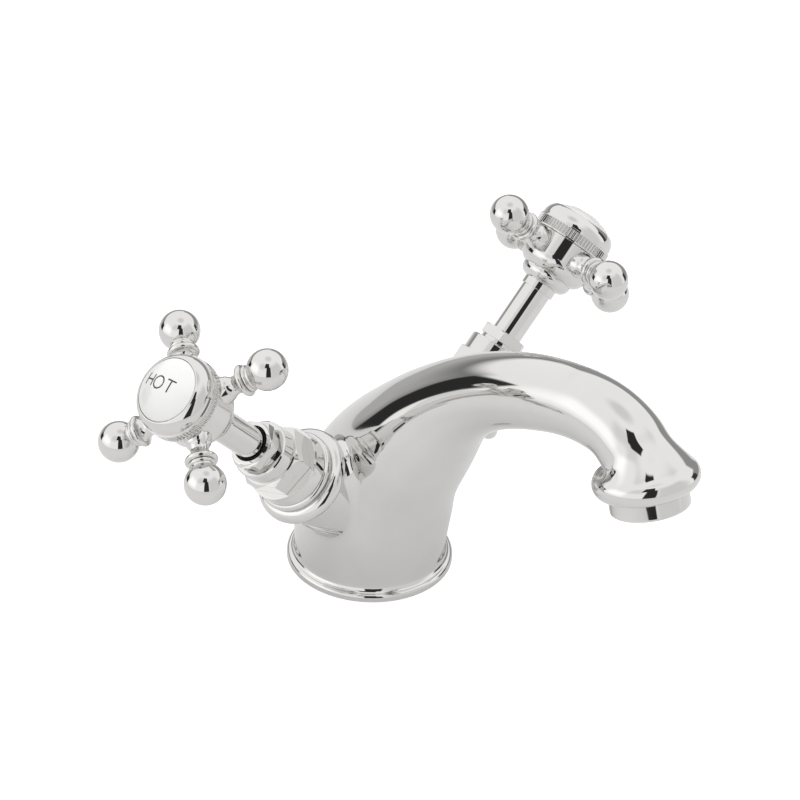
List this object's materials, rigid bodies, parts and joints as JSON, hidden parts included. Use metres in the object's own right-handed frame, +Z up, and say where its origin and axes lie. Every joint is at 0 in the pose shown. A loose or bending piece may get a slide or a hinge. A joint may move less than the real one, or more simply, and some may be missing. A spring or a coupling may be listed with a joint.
{
  "type": "bathroom mixer faucet",
  "caption": "One-hole basin mixer with a swan-neck spout, two leaning quarter-turn valves, ball-ended cross handles and white index buttons.",
  "frame": {"origin": "middle of the foot's underside, on the basin deck", "axes": "+Z up, the spout reaches out along -Y, the hot valve leans out to -X and the cold valve to +X"},
  "size_m": [0.1993, 0.1654, 0.1178],
  "materials": {
    "chrome": "polished chrome plate on brass",
    "index_glaze": "white glazed ceramic",
    "rubber": "black moulded EPDM",
    "ceramic_disc": "lapped alumina",
    "brass": "turned brass",
    "steel": "plain stainless steel",
    "nylon": "moulded acetal"
  },
  "bodies": {
    "body": {"body_casting": "chrome", "base_gasket": "rubber", "aerator_housing": "chrome", "aerator_screen": "nylon", "aerator_insert": "nylon", "aerator_washer": "rubber", "hot_trim_ring": "chrome", "hot_bonnet": "chrome", "hot_gland_nut": "chrome", "hot_stem_seal": "rubber", "hot_seat_seal": "rubber", "hot_fixed_disc": "ceramic_disc", "cold_trim_ring": "chrome", "cold_bonnet": "chrome", "cold_gland_nut": "chrome", "cold_stem_seal": "rubber", "cold_seat_seal": "rubber", "cold_fixed_disc": "ceramic_disc"},
    "hot_handle": {"hot_moving_disc": "ceramic_disc", "hot_spindle": "brass", "hot_spindle_oring": "rubber", "hot_circlip": "steel", "hot_stem_tube": "chrome", "hot_hub": "chrome", "hot_arm_1": "chrome", "hot_arm_2": "chrome", "hot_arm_3": "chrome", "hot_arm_4": "chrome", "hot_bezel": "chrome", "hot_index": "index_glaze", "hot_handle_screw": "steel"},
    "cold_handle": {"cold_moving_disc": "ceramic_disc", "cold_spindle": "brass", "cold_spindle_oring": "rubber", "cold_circlip": "steel", "cold_stem_tube": "chrome", "cold_hub": "chrome", "cold_arm_1": "chrome", "cold_arm_2": "chrome", "cold_arm_3": "chrome", "cold_arm_4": "chrome", "cold_bezel": "chrome", "cold_index": "index_glaze", "cold_handle_screw": "steel"}
  },
  "joints": [
    {"name": "hot_turn", "type": "hinge", "parent": "body", "child": "hot_handle", "pos_m": [0, -0.00315, 0.0136], "axis": [-0.7071, 0, 0.7071], "range_deg": [0, 90]},
    {"name": "cold_turn", "type": "hinge", "parent": "body", "child": "cold_handle", "pos_m": [0, -0.00315, 0.0136], "axis": [0.7071, 0, 0.7071], "range_deg": [0, 90]}
  ]
}
